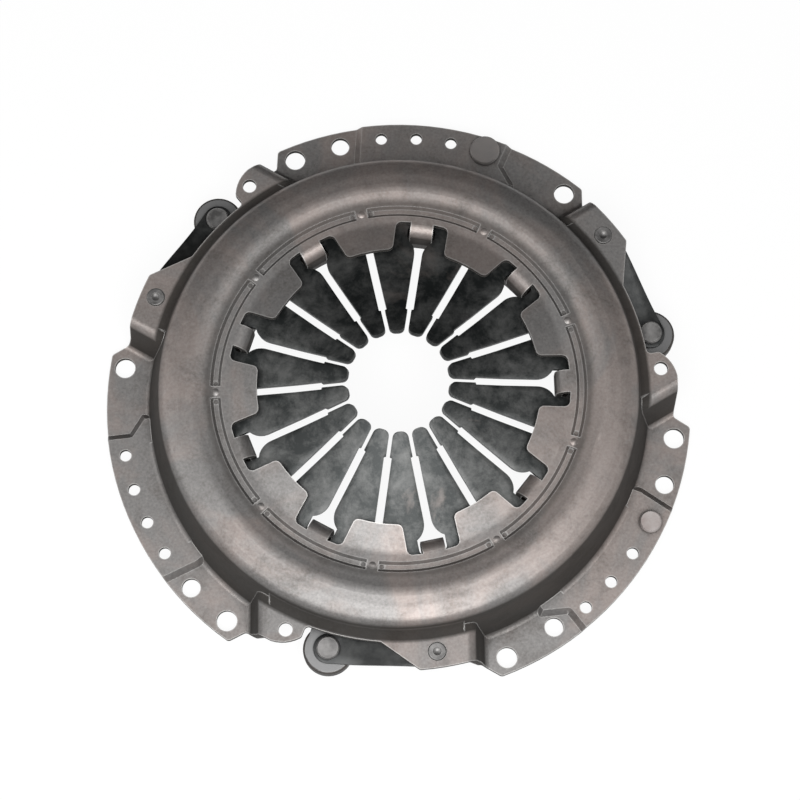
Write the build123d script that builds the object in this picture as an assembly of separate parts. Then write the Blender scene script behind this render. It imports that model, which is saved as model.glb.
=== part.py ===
"""Clutch cover assembly: pressed cover, diaphragm spring, pivot ring, strap packs,
rivets and cast pressure plate.

Millimetres. The origin lies on the axis in the plane of the flywheel, under the bolt pads,
and +Z points from the flywheel to the release bearing. Angles are in degrees, and those
of the flange are measured from the middle of the nearest plate lug.
"""
from build123d import *
from math import atan2, cos, degrees, hypot, radians, sin, tan
import os

# --- driving dimensions: radii, each from the one it is set against -------------------------
BOLT_CIRCLE_R = 123.5
FLANGE_MARGIN = 6.7
WALL_MARGIN = 12.0
WALL_LEAN = 7.1
STRAP_MARGIN = 4.2
EAR_MARGIN = 6.9
ARCH_MARGIN = 5.1
SHOULDER_RUN = 6.9
RIM_CLEARANCE = 7.9
LEVER = 16.8
CREST_MARGIN = 10.8
RING_MARGIN = 2.5
NOTCH_MARGIN = 5.0
LAND_ROOT_MARGIN = 6.1
LAND_REACH = 12.0
TAB_INSET = 11.4
TAB_HOOK_MARGIN = 2.9

# --- driving dimensions: sheet, levels and bends ---------------------------------------------
SHEET = 3.0
BALANCE_RISE = 3.0
EAR_RISE = 21.6
SHOULDER_RISE = 8.4
RING_RISE = 1.6
CREST_RISE = 1.4
CONE_DROP = 0.8
LAND_SLOPE_A = 10.0
SHOULDER_ROUND = 5.5
CREST_ROUND = 14.0
FOOT_ROUND = 2.5
EAR_ROUND = 5.0
FOLD_TOP_ROUND = 4.5
FOLD_FOOT_ROUND = 2.5
STEP_A = 40.0
STEP_MARGIN_A = 3.0
OUTLINE_ROUND = 2.0
FLOOR_Z = -2 * SHEET

# --- driving dimensions: sectors, as angles from the lug --------------------------------------
SECTORS = 3
SECTOR_PITCH = 360.0 / SECTORS
LUG_PHASE = -105.3
FOLD_LINE_A = 16.0
RISER_A = -17.4
RISER_B = 33.0
RISER_RUN = 5.0
PAD_A_START = -37.0
PAD_A_TOE = -34.5
PAD_A_END = -19.6
PAD_A_CORNER = -17.7
DOWEL_A = -32.2
BOLT_A = -22.2
BOLT_PITCH = 60.0
EAR_A_NOSE = -11.3
EAR_A_HOLE = -9.5
EAR_A_TURN = -8.3
EAR_A_END = -5.8
EAR_B_START = 11.3
EAR_B_CORNER = 19.6
EAR_B_RIVET = 23.5
EAR_B_END = 32.4
PAD_B_START = 35.5
PAD_B_TOE = 48.0
PAD_B_END = 52.0
EXTRA_PAD_A = 1.2
EXTRA_HOLE_A = 49.3
BALANCE_A = 56.8
BALANCE_PITCH_A = 7.4
TOE_MARGIN = 3.0
HEEL_MARGIN = 9.0
NOSE_INSET = 2.2
NOSE_MARGIN = 0.3

# --- driving dimensions: holes --------------------------------------------------------------
BOLT_HOLE_R = 4.5
DOWEL_HOLE_R = 4.1
BALANCE_HOLE_R = 2.6
BALANCE_HOLES = 4
EAR_HOLE_R = 3.0
EXTRA_HOLE_INSET = 2.0

# --- driving dimensions: ring, bead, lands and tabs -------------------------------------------
LANDS = 9
LAND_PHASE = 21.9
LAND_PITCH = 360.0 / LANDS
GROOVE_HALF = 2.1
GROOVE_FLOOR_HALF = 1.0
GROOVE_DEPTH = 1.5
BEAD_PROJECTION = 2.8
BEAD_ROUND = 2.0
BEAD_FLARE = 1.8
BEAD_WAIST = 0.98
BRIDGE_HALF_A = 1.9
BRIDGE_BALL_R = 4.0
BRIDGE_RISE = 0.35
BRIDGE_PIT_A = 2.9
BRIDGE_PIT_R = 1.3
BRIDGE_PIT_DEPTH = 2.0
NOTCH_ROUND = 2.6
LAND_HALF_W = 10.4
LAND_FLARE = 0.34
TAB_W = 10.0
TAB_BEND = 5.5
TAB_HOOK_BEND = 4.3

# --- driving dimensions: diaphragm spring and wire ring ----------------------------------------
SPRING_T = 2.4
SPRING_CONE_A = 12.5
FINGER_CONE_A = 17.0
FINGER_BEND_R = 45.0
FINGER_BEND_ROUND = 41.0
FINGER_TIP_R = 22.1
FINGERS = 18
SLOT_W = 3.4
TIP_SLOT_W = 1.7
SLOT_STEP_R = 33.1
SLOT_END_MARGIN = 7.7
SLOT_EYE_R = 3.2
TIP_ROUND = 2.4
WINDOW_END_MARGIN = 5.9
WINDOW_SIDE_MARGIN = 0.5
WINDOW_FLARE = 7.8
TAB_CLEARANCE = 1.1
WIRE_R = 2.0
RING_JOINT = 1.5
CONTACT_GAP = 0.05

# --- driving dimensions: pressure plate --------------------------------------------------------
FRICTION_Z = 3.6
PLATE_BORE_MARGIN = 7.2
PLATE_WALL_GAP = 6.0
PLATE_H = 9.9
PLATE_EDGE_H = 5.4
PLATE_DRAFT = 2.5
PLATE_BEVEL = 2.0
RIDGE_INSET = 3.5
RIDGE_ROUND = 2.0
RIDGE_GAP = 0.15
RIDGE_ROOT_HALF = 5.5
VENTS = 12
VENT_W = 9.0
VENT_FLOOR_H = 1.5
LUG_R = 11.0
LUG_ARM_W = 19.0
LUG_BEVEL = 1.0
LUG_BASE_H = 1.0
LUG_H = 6.9

# --- driving dimensions: straps and rivets --------------------------------------------------------
LEAVES = 3
LEAF_T = 0.7
STRAP_W = 13.0
STRAP_FLAT = 9.6
STRAP_BEND = 25.0
RIVET_R = 3.0
RIVET_CLEARANCE = 0.15
STRAP_HOLE_R = 3.4
LUG_HEAD_R = 5.0
LUG_HEAD_H = 2.6
LUG_TAIL_H = 2.0
COVER_HEAD_R = 5.6
COVER_HEAD_H = 2.2
COVER_TAIL_R = 3.9
COVER_TAIL_H = 0.9
COVER_SINK_DEPTH = 0.9
DIMPLE_R = 2.6
DIMPLE_DEPTH = 0.8
HEAD_BEVEL = 0.6
BALANCE_HEAD_R = 4.9
BALANCE_HEAD_H = 3.2
BALANCE_PLUG_R = 6.7
BALANCE_PLUG_H = 2.9
BALANCE_TAIL_R = 3.6
BALANCE_TAIL_H = 1.2
BALANCE_CLEARANCE = 0.05

# --- derived places ---------------------------------------------------------------------------
FLANGE_R = BOLT_CIRCLE_R + FLANGE_MARGIN
WALL_FOOT_R = BOLT_CIRCLE_R - WALL_MARGIN
SHOULDER_R = WALL_FOOT_R - WALL_LEAN
STRAP_CIRCLE_R = WALL_FOOT_R + STRAP_MARGIN
EAR_R = STRAP_CIRCLE_R + EAR_MARGIN
ARCH_R = STRAP_CIRCLE_R - ARCH_MARGIN
CONE_R = SHOULDER_R - SHOULDER_RUN
SPRING_RIM_R = SHOULDER_R - RIM_CLEARANCE
FULCRUM_R = SPRING_RIM_R - LEVER
CREST_R = FULCRUM_R + CREST_MARGIN
RING_EDGE_R = FULCRUM_R + RING_MARGIN
LAND_ROOT_R = FULCRUM_R - LAND_ROOT_MARGIN
LAND_TIP_R = LAND_ROOT_R - LAND_REACH
NOTCH_R = FULCRUM_R - NOTCH_MARGIN
TAB_FACE_R = FULCRUM_R - TAB_INSET
TAB_HOOK_R = FULCRUM_R + TAB_HOOK_MARGIN
TAB_PHASE = LAND_PHASE + LAND_PITCH / 2.0

PAD_Z = SHEET
BALANCE_Z = PAD_Z + BALANCE_RISE
EAR_Z = PAD_Z + EAR_RISE
EAR_UNDER_Z = EAR_Z - SHEET
SHOULDER_Z = EAR_Z + SHOULDER_RISE
RING_Z = SHOULDER_Z + RING_RISE
CREST_Z = RING_Z + CREST_RISE
CONE_Z = CREST_Z - CONE_DROP
UNDER_RING_Z = RING_Z - SHEET
BEAD_Z = UNDER_RING_Z - BEAD_PROJECTION
BEAD_CENTRE_Z = BEAD_Z + BEAD_ROUND

SLOT_END_R = FULCRUM_R - SLOT_END_MARGIN
WINDOW_END_R = FULCRUM_R - WINDOW_END_MARGIN
WINDOW_SIDE_R = TAB_FACE_R - WINDOW_SIDE_MARGIN
WINDOW_FLARE_R = WINDOW_SIDE_R - WINDOW_FLARE
SPRING_TOP_Z = BEAD_CENTRE_Z - (BEAD_ROUND + CONTACT_GAP) / cos(radians(SPRING_CONE_A))
SPRING_UPRIGHT_T = SPRING_T / cos(radians(SPRING_CONE_A))
WIRE_Z = SPRING_TOP_Z - SPRING_UPRIGHT_T - (WIRE_R + CONTACT_GAP) / cos(radians(SPRING_CONE_A))
HOOK_Z = WIRE_Z - WIRE_R - CONTACT_GAP

PLATE_IN_R = FULCRUM_R - PLATE_BORE_MARGIN
PLATE_OUT_R = WALL_FOOT_R - PLATE_WALL_GAP
PLATE_TOP_Z = FRICTION_Z + PLATE_H
RIDGE_R = SPRING_RIM_R - RIDGE_INSET
LUG_BASE_Z = FRICTION_Z + LUG_BASE_H
LUG_Z = LUG_BASE_Z + LUG_H
PACK_T = LEAVES * LEAF_T


def polar(r, angle):
    """Point in plan at radius r and angle in degrees."""
    return (r * cos(radians(angle)), r * sin(radians(angle)))


def lug_angle(sector):
    """Direction of the lug of one sector."""
    return LUG_PHASE + sector * SECTOR_PITCH


def around(angle):
    """Location turned about the axis."""
    return Rot(0, 0, angle)


def spin(face, start, end):
    """Revolve a face of the XZ plane about the axis, from angle start to angle end."""
    return around(start) * revolve(face, Axis.Z, end - start)


def section(*points):
    """Face in the XZ plane with straight sides."""
    return make_face(Plane.XZ * Polyline(*points, close=True))


def inset(points, distance):
    """Corners of the line that runs beside a line of points, to its right."""
    sides = []
    for (x0, z0), (x1, z1) in zip(points, points[1:]):
        run = hypot(x1 - x0, z1 - z0)
        sides.append(((z1 - z0) / run, (x0 - x1) / run))
    sides = [sides[0]] + sides + [sides[-1]]
    moved = []
    for (x, z), (ax, az), (bx, bz) in zip(points, sides, sides[1:]):
        scale = distance / (1.0 + ax * bx + az * bz)
        moved.append((x + scale * (ax + bx), z + scale * (az + bz)))
    return moved


def offset_line(points, rounds, depth):
    """Line of bends that runs beside a rounded line of points, to its right."""
    radii = []
    for (x0, z0), (x1, z1), (x2, z2), r in zip(points, points[1:], points[2:], rounds):
        left_turn = (x1 - x0) * (z2 - z1) > (z1 - z0) * (x2 - x1)
        radii.append(r + depth if left_turn else r - depth)
    return FilletPolyline(*inset(points, depth), radius=radii)


def below(points, rounds, depth):
    """Face under a rounded line of points, its top a depth beneath the line."""
    line = offset_line(points, rounds, depth)
    start, end = line @ 0, line @ 1
    ends = Polyline((end.X, end.Y), (end.X, FLOOR_Z), (start.X, FLOOR_Z), (start.X, start.Y))
    return make_face(Wire([*line.edges(), *ends.edges()]))


def sheet_strip(points, rounds, thickness):
    """Section of sheet beside a rounded line: to its right, or to its left if negative."""
    line = offset_line(points, rounds, thickness / 2)
    return trace(line.wire(), abs(thickness))


def drum(r, z0, z1, x=0.0, y=0.0):
    """Upright cylinder between two heights."""
    return Pos(x, y, z0) * extrude(Circle(r), z1 - z0)


def wall_r(z):
    """Radius of the cover's wall on its outer side at height z."""
    share = (SHOULDER_Z - z) / (SHOULDER_Z - PAD_Z)
    return SHOULDER_R + share * (WALL_FOOT_R - SHOULDER_R)


# --- cover -----------------------------------------------------------------------------------
# The sheet is what is left of the room under its upper side once the room under its lower
# side is taken away, so each of the shapes below is made twice: at depth 0 and at depth SHEET.
def round_shape(level, inner_round, depth):
    """Room under the lands' ring, the crest, the shoulder, the wall and a level flange."""
    start = LAND_TIP_R - SHEET
    points = [
        (start, RING_Z + (LAND_ROOT_R - start) * tan(radians(LAND_SLOPE_A))),
        (LAND_ROOT_R, RING_Z),
        (RING_EDGE_R, RING_Z),
        (CREST_R, CREST_Z),
        (CONE_R, CONE_Z),
        (SHOULDER_R, SHOULDER_Z),
        (wall_r(level), level),
        (FLANGE_R + SHEET, level),
    ]
    rounds = [CREST_ROUND, CREST_ROUND, CREST_ROUND, CREST_ROUND, SHOULDER_ROUND, inner_round]
    return spin(Plane.XZ * below(points, rounds, depth), 0, 360)


def across(angle):
    """Distance of a place on the strap circle from the axis, square to the fold lines."""
    return STRAP_CIRCLE_R * sin(radians(angle - FOLD_LINE_A))


def ear_shape(depth):
    """Room under the two ears of a sector and the risers that lead down to its pads."""
    left, right = across(RISER_A), across(RISER_B)
    points = [
        (left - RISER_RUN * 3, PAD_Z),
        (left - RISER_RUN / 2, PAD_Z),
        (left + RISER_RUN / 2, EAR_Z),
        (right - RISER_RUN / 2, EAR_Z),
        (right + RISER_RUN / 2, PAD_Z),
        (right + RISER_RUN * 3, PAD_Z),
    ]
    rounds = [FOLD_FOOT_ROUND, FOLD_TOP_ROUND, FOLD_TOP_ROUND, FOLD_FOOT_ROUND]
    face = fold_plane() * below(points, rounds, depth)
    return extrude(face, FLANGE_R)


def fold_plane():
    """Upright plane square to the fold lines, a little inside the wall."""
    line = (cos(radians(FOLD_LINE_A)), sin(radians(FOLD_LINE_A)), 0)
    start = [RING_EDGE_R * share for share in line]
    return Plane(origin=start, x_dir=(-line[1], line[0], 0), z_dir=line)


def ear_middle():
    """Room between the bends of the two risers of a sector."""
    left = across(RISER_A) + RISER_RUN / 2 + FOLD_TOP_ROUND
    right = across(RISER_B) - RISER_RUN / 2 - FOLD_TOP_ROUND
    face = fold_plane() * Pos((left + right) / 2, 0) * Rectangle(right - left, 2 * CREST_Z)
    return extrude(face, FLANGE_R)


def raised_shape(sector, depth):
    """Room under the raised segment between two pads, with sloping ends."""
    end_b = PAD_B_END + (EXTRA_PAD_A if sector == 0 else 0.0)
    far, heel, toe = FLANGE_R + HEEL_MARGIN, WALL_FOOT_R + HEEL_MARGIN, WALL_FOOT_R + TOE_MARGIN
    near_a = SECTOR_PITCH + PAD_A_TOE
    corners = [
        polar(far, SECTOR_PITCH + PAD_A_START),
        polar(toe, near_a),
        polar(SHOULDER_R, near_a),
        polar(SHOULDER_R, PAD_B_TOE),
        polar(toe, PAD_B_TOE),
        polar(heel, end_b),
        polar(far, end_b),
    ]
    outline = make_face(Polyline(*corners, close=True))
    return Pos(0, 0, PAD_Z - depth) * extrude(outline, BALANCE_RISE, taper=STEP_A)


def raised_middle():
    """Room over the level part of a sector's raised segment."""
    start, end = PAD_B_END + STEP_MARGIN_A, SECTOR_PITCH + PAD_A_START - STEP_MARGIN_A
    return spin(section((0, FLOOR_Z), (2 * FLANGE_R, FLOOR_Z), (2 * FLANGE_R, CREST_Z), (0, CREST_Z)), start, end)


def room(depth):
    """All the room under the cover's sheet."""
    whole = round_shape(PAD_Z, FOOT_ROUND, depth)
    creases = round_shape(EAR_Z, EAR_ROUND, depth)
    feet = round_shape(BALANCE_Z, FOOT_ROUND, depth)
    for sector in range(SECTORS):
        turn = around(lug_angle(sector))
        whole += turn * ear_shape(depth)
        whole += creases & turn * ear_middle()
        whole += turn * raised_shape(sector, depth)
        whole += feet & turn * raised_middle()
    return whole


def flange_outline(sector):
    """Edges of the flange's outline over one sector, going round."""
    def at(r, angle):
        return polar(r, lug_angle(sector) + angle)

    def round_edge(r, start, end):
        return ThreePointArc(at(r, start), at(r, (start + end) / 2), at(r, end))

    nose = STRAP_CIRCLE_R + NOSE_MARGIN
    return [
        round_edge(FLANGE_R, PAD_B_START - SECTOR_PITCH, PAD_A_END),
        Line(at(FLANGE_R, PAD_A_END), at(EAR_R, PAD_A_CORNER)),
        round_edge(EAR_R, PAD_A_CORNER, EAR_A_NOSE),
        ThreePointArc(at(EAR_R, EAR_A_NOSE), at(EAR_R - NOSE_INSET, EAR_A_TURN), at(nose, EAR_A_END)),
        Line(at(nose, EAR_A_END), at(ARCH_R, EAR_A_END)),
        round_edge(ARCH_R, EAR_A_END, EAR_B_START),
        Line(at(ARCH_R, EAR_B_START), at(EAR_R, EAR_B_CORNER)),
        round_edge(EAR_R, EAR_B_CORNER, EAR_B_END),
        Line(at(EAR_R, EAR_B_END), at(FLANGE_R, PAD_B_START)),
    ]


def blank():
    """Upright prism with the outline of the whole cover."""
    edges = [edge for sector in range(SECTORS) for edge in flange_outline(sector)]
    outline = make_face(Wire(edges))
    return Pos(0, 0, -SHEET) * extrude(fillet(outline.vertices(), OUTLINE_ROUND), 2 * CREST_Z)


def land_gaps():
    """Star-shaped opening that leaves the lands standing inside the ring."""
    near, far = LAND_TIP_R - SHEET, NOTCH_R + SHEET
    near_w = LAND_HALF_W - SHEET * LAND_FLARE
    far_w = LAND_HALF_W + (far - LAND_TIP_R) * LAND_FLARE
    wedge = make_face(Polyline((near, -near_w), (far, -far_w), (far, far_w), (near, near_w), close=True))
    lands = Sketch() + [around(LAND_PHASE + k * LAND_PITCH) * wedge for k in range(LANDS)]
    star = Circle(NOTCH_R) - (lands - Circle(LAND_TIP_R))
    star = fillet(star.vertices(), NOTCH_ROUND)
    return Pos(0, 0, BEAD_Z) * extrude(star, RING_Z)


def bead():
    """Fulcrum bead under the ring, with a round nose."""
    top = UNDER_RING_Z + GROOVE_DEPTH / 3
    flank = BEAD_ROUND * BEAD_FLARE
    waist = BEAD_ROUND * BEAD_WAIST
    nose = Pos(FULCRUM_R, BEAD_CENTRE_Z) * Circle(BEAD_ROUND)
    web = make_face(Polyline(
        (FULCRUM_R - flank, top),
        (FULCRUM_R + flank, top),
        (FULCRUM_R + waist, BEAD_CENTRE_Z),
        (FULCRUM_R - waist, BEAD_CENTRE_Z),
        close=True,
    ))
    return spin(Plane.XZ * (nose + web), 0, 360)


def groove():
    """Pressed groove over the bead, left out at the bridges, with a pit beside each bridge."""
    half, floor = GROOVE_HALF + 1.0, RING_Z - GROOVE_DEPTH
    shape = section(
        (FULCRUM_R - half, RING_Z + 1.0),
        (FULCRUM_R - GROOVE_FLOOR_HALF, floor),
        (FULCRUM_R + GROOVE_FLOOR_HALF, floor),
        (FULCRUM_R + half, RING_Z + 1.0),
    )
    cuts = []
    for k in range(LANDS):
        middle = LAND_PHASE + k * LAND_PITCH
        cuts.append(spin(shape, middle + BRIDGE_HALF_A, middle + LAND_PITCH - BRIDGE_HALF_A))
        for side in (-1, 1):
            x, y = polar(FULCRUM_R, middle + side * BRIDGE_PIT_A)
            cuts.append(drum(BRIDGE_PIT_R, RING_Z - BRIDGE_PIT_DEPTH, RING_Z + 1.0, x, y))
    return cuts


def bridges():
    """Low domes on the bridges between the ends of the groove."""
    domes = []
    for k in range(LANDS):
        x, y = polar(FULCRUM_R, LAND_PHASE + k * LAND_PITCH)
        ball = Pos(x, y, RING_Z + BRIDGE_RISE - BRIDGE_BALL_R) * Sphere(BRIDGE_BALL_R)
        domes.append(ball & drum(BRIDGE_BALL_R, RING_Z - 1.0, RING_Z + 1.0, x, y))
    return domes


def tab(k):
    """One tab: in over the notch, down through the spring and out under the wire ring."""
    points = [
        (FULCRUM_R + RING_MARGIN / 2, RING_Z),
        (TAB_FACE_R, RING_Z),
        (TAB_FACE_R, HOOK_Z - SHEET),
        (TAB_HOOK_R, HOOK_Z - SHEET),
    ]
    strip = extrude(Plane.XZ * sheet_strip(points, [TAB_BEND, TAB_HOOK_BEND], -SHEET), TAB_W / 2, both=True)
    return around(TAB_PHASE + k * LAND_PITCH) * strip


def flange_holes(sector):
    """Bolt, dowel, balance, ear and rivet holes of one sector."""
    lug = lug_angle(sector)
    low, under, top = -1.0, EAR_UNDER_Z - 1.0, EAR_Z + 1.0
    holes = [
        drum(BOLT_HOLE_R, low, top, *polar(BOLT_CIRCLE_R, lug + BOLT_A)),
        drum(BOLT_HOLE_R, low, top, *polar(BOLT_CIRCLE_R, lug + BOLT_A + BOLT_PITCH)),
        drum(DOWEL_HOLE_R, low, top, *polar(BOLT_CIRCLE_R, lug + DOWEL_A)),
        drum(EAR_HOLE_R, under, top, *polar(STRAP_CIRCLE_R, lug + EAR_A_HOLE)),
    ]
    for k in range(BALANCE_HOLES):
        holes.append(drum(BALANCE_HOLE_R, low, top, *polar(BOLT_CIRCLE_R, lug + BALANCE_A + k * BALANCE_PITCH_A)))
    if sector == 0:
        holes.append(drum(DOWEL_HOLE_R, low, top, *polar(BOLT_CIRCLE_R - EXTRA_HOLE_INSET, lug + EXTRA_HOLE_A)))
    x, y = polar(STRAP_CIRCLE_R, lug + EAR_B_RIVET)
    hole_r, sink_r = RIVET_R + RIVET_CLEARANCE, COVER_TAIL_R + RIVET_CLEARANCE
    holes.append(drum(hole_r, under, top, x, y))
    holes.append(Pos(x, y, EAR_Z - COVER_SINK_DEPTH / 2) * Cone(hole_r, sink_r, COVER_SINK_DEPTH))
    return holes


def clutch_cover():
    """The whole pressed cover."""
    shell = ((room(0.0) - room(SHEET)) & blank()) - land_gaps()
    shell += [bead(), *bridges(), *[tab(k) for k in range(LANDS)]]
    return shell - [*groove(), *[hole for sector in range(SECTORS) for hole in flange_holes(sector)]]


# --- diaphragm spring and its wire ring ----------------------------------------------------
def spring_blank():
    """Conical disc of the spring before its slots are cut."""
    rise = tan(radians(SPRING_CONE_A))
    steep = tan(radians(FINGER_CONE_A))
    bend_z = SPRING_TOP_Z + (FULCRUM_R - FINGER_BEND_R) * rise
    tip = FINGER_TIP_R - TIP_ROUND
    points = [
        (tip, bend_z + (FINGER_BEND_R - tip) * steep),
        (FINGER_BEND_R, bend_z),
        (SPRING_RIM_R, SPRING_TOP_Z - (SPRING_RIM_R - FULCRUM_R) * rise),
    ]
    return spin(Plane.XZ * sheet_strip(points, [FINGER_BEND_ROUND], SPRING_T), 0, 360)


def spring_opening():
    """Centre hole with rounded finger tips, slots, eyes and tab windows, in plan."""
    half = SLOT_W / 2
    side = TAB_W / 2 + TAB_CLEARANCE
    reach = SLOT_STEP_R - FINGER_TIP_R + SLOT_W
    narrow = Pos((FINGER_TIP_R + SLOT_STEP_R) / 2, 0) * Rectangle(reach, TIP_SLOT_W)
    mouth = Circle(FINGER_TIP_R) + [around(LAND_PHASE + k * 360.0 / FINGERS) * narrow for k in range(FINGERS)]
    tips = mouth.vertices().filter_by(lambda v: abs(hypot(v.X, v.Y) - FINGER_TIP_R) < 0.1)
    mouth = fillet(tips, TIP_ROUND)
    plain = Pos((SLOT_STEP_R + SLOT_END_R) / 2, 0) * Rectangle(SLOT_END_R - SLOT_STEP_R, SLOT_W)
    plain += Pos(SLOT_END_R, 0) * Circle(SLOT_EYE_R)
    upper = [
        Line((SLOT_STEP_R, half), (WINDOW_FLARE_R, half)),
        TangentArc((WINDOW_FLARE_R, half), (WINDOW_SIDE_R, side), tangent=(1, 0)),
        Line((WINDOW_SIDE_R, side), (WINDOW_END_R, side)),
    ]
    edges = upper + [mirror(edge, Plane.XZ) for edge in upper]
    edges += [Line((SLOT_STEP_R, -half), (SLOT_STEP_R, half)), Line((WINDOW_END_R, -side), (WINDOW_END_R, side))]
    window = make_face(Wire([edge.edge() for edge in edges]))
    for k in range(LANDS):
        mouth += around(LAND_PHASE + k * LAND_PITCH) * plain
        mouth += around(TAB_PHASE + k * LAND_PITCH) * window
    return mouth


def diaphragm_spring():
    """Conical spring with tapered fingers."""
    return spring_blank() - Pos(0, 0, WIRE_Z) * extrude(spring_opening(), RING_Z)


def pivot_ring():
    """Open wire ring that the turned-over tabs hold against the spring."""
    gap = Pos(FULCRUM_R, 0, WIRE_Z) * Box(4 * WIRE_R, RING_JOINT, 4 * WIRE_R)
    return around(LAND_PHASE) * (Pos(0, 0, WIRE_Z) * Torus(FULCRUM_R, WIRE_R) - gap)


# --- pressure plate ----------------------------------------------------------------------------
def ridge_top():
    """Height of the plate's ridge, under the spring at rest."""
    drop = (RIDGE_R - FULCRUM_R) * tan(radians(SPRING_CONE_A))
    under = SPRING_TOP_Z - drop - SPRING_UPRIGHT_T
    return under - RIDGE_GAP + RIDGE_ROUND - RIDGE_ROUND / cos(radians(SPRING_CONE_A))


def lug(sector):
    """Arm and round boss that carry one strap pack."""
    length = STRAP_CIRCLE_R - PLATE_OUT_R + PLATE_WALL_GAP
    height = LUG_Z - LUG_BASE_Z
    arm = Pos(STRAP_CIRCLE_R - length / 2, 0, LUG_BASE_Z + height / 2) * Box(length, LUG_ARM_W, height)
    boss = drum(LUG_R, LUG_BASE_Z, LUG_Z, STRAP_CIRCLE_R, 0)
    boss = fillet(boss.edges().sort_by(Axis.Z)[-1], LUG_BEVEL)
    return around(lug_angle(sector)) * (arm + boss)


def pressure_plate():
    """Cast ring with friction face, vented ridge and three lugs."""
    top = ridge_top()
    ring = section(
        (PLATE_IN_R, FRICTION_Z),
        (PLATE_OUT_R, FRICTION_Z),
        (PLATE_OUT_R, FRICTION_Z + PLATE_EDGE_H),
        (PLATE_OUT_R - PLATE_DRAFT, PLATE_TOP_Z),
        (PLATE_IN_R + PLATE_BEVEL, PLATE_TOP_Z),
        (PLATE_IN_R, PLATE_TOP_Z - PLATE_BEVEL),
    )
    body = spin(ring, 0, 360)
    nose = Pos(RIDGE_R, top - RIDGE_ROUND) * Circle(RIDGE_ROUND)
    web = make_face(Polyline(
        (RIDGE_R - RIDGE_ROOT_HALF, PLATE_TOP_Z - RIDGE_GAP),
        (RIDGE_R + RIDGE_ROOT_HALF, PLATE_TOP_Z - RIDGE_GAP),
        (RIDGE_R + RIDGE_ROUND, top - RIDGE_ROUND),
        (RIDGE_R - RIDGE_ROUND, top - RIDGE_ROUND),
        close=True,
    ))
    ridge = spin(Plane.XZ * (nose + web), 0, 360)
    slot = Pos(RIDGE_R, 0, PLATE_TOP_Z + VENT_FLOOR_H + top / 2) * Box(4 * RIDGE_ROOT_HALF, VENT_W, top)
    ridge -= [around(LUG_PHASE + (k + 0.5) * 360.0 / VENTS) * slot for k in range(VENTS)]
    body += [ridge, *[lug(sector) for sector in range(SECTORS)]]
    holes = []
    for sector in range(SECTORS):
        x, y = polar(STRAP_CIRCLE_R, lug_angle(sector))
        holes.append(drum(RIVET_R + RIVET_CLEARANCE, LUG_BASE_Z - 1, LUG_Z + 1, x, y))
        holes.append(drum(LUG_HEAD_R + RIVET_CLEARANCE, LUG_BASE_Z - 1, LUG_BASE_Z + LUG_TAIL_H, x, y))
    return body - holes


# --- straps and rivets -----------------------------------------------------------------------
def strap_place(sector):
    """Location of a strap pack: at its lug rivet, turned towards its cover rivet."""
    x0, y0 = polar(STRAP_CIRCLE_R, lug_angle(sector))
    x1, y1 = polar(STRAP_CIRCLE_R, lug_angle(sector) + EAR_B_RIVET)
    return Pos(x0, y0, 0) * Rot(0, 0, degrees(atan2(y1 - y0, x1 - x0)))


def strap_leaf(sector, leaf):
    """One leaf of a strap pack, flat at both ends and sloping between them."""
    reach = 2 * STRAP_CIRCLE_R * sin(radians(EAR_B_RIVET / 2))
    end = STRAP_W / 2
    low = LUG_Z + leaf * LEAF_T
    high = EAR_UNDER_Z - PACK_T + leaf * LEAF_T
    points = [(-end, low), (STRAP_FLAT, low), (reach - STRAP_FLAT, high), (reach + end, high)]
    under = FilletPolyline(*points, radius=STRAP_BEND)
    over = Pos(0, LEAF_T) * under
    sides = [Line(under @ 0, over @ 0), Line(under @ 1, over @ 1)]
    face = make_face(Wire([*under.edges(), *over.edges(), *[side.edge() for side in sides]]))
    bar = extrude(Plane.XZ * face, end, both=True)
    plan = Pos(reach / 2, 0) * SlotCenterToCenter(reach, STRAP_W)
    plan -= [Circle(STRAP_HOLE_R), Pos(reach, 0) * Circle(STRAP_HOLE_R)]
    return strap_place(sector) * (bar & extrude(plan, RING_Z))


def lug_rivet(sector):
    """Flat-headed rivet through a strap pack and a lug."""
    x, y = polar(STRAP_CIRCLE_R, lug_angle(sector))
    top = LUG_Z + PACK_T
    rivet = drum(RIVET_R, LUG_BASE_Z, top + LUG_HEAD_H, x, y)
    head = chamfer(drum(LUG_HEAD_R, top, top + LUG_HEAD_H, x, y).edges().sort_by(Axis.Z)[-1], HEAD_BEVEL)
    tail = drum(LUG_HEAD_R, LUG_BASE_Z, LUG_BASE_Z + LUG_TAIL_H, x, y)
    return rivet + head + tail


def cover_rivet(sector):
    """Rivet through an ear and a strap pack, set in a sink with a dimple in its tail."""
    x, y = polar(STRAP_CIRCLE_R, lug_angle(sector) + EAR_B_RIVET)
    under = EAR_UNDER_Z - PACK_T
    top = EAR_Z + COVER_TAIL_H
    rivet = drum(RIVET_R, under - COVER_HEAD_H, EAR_Z, x, y)
    head = chamfer(drum(COVER_HEAD_R, under - COVER_HEAD_H, under, x, y).edges().sort_by(Axis.Z)[0], HEAD_BEVEL)
    sink = Pos(x, y, EAR_Z - COVER_SINK_DEPTH / 2) * Cone(RIVET_R, COVER_TAIL_R, COVER_SINK_DEPTH)
    tail = fillet(drum(COVER_TAIL_R, EAR_Z, top, x, y).edges().sort_by(Axis.Z)[-1], COVER_TAIL_H / 2)
    dimple = Pos(x, y, top - DIMPLE_DEPTH + DIMPLE_R) * Sphere(DIMPLE_R)
    return rivet + head + sink + tail - dimple


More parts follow.
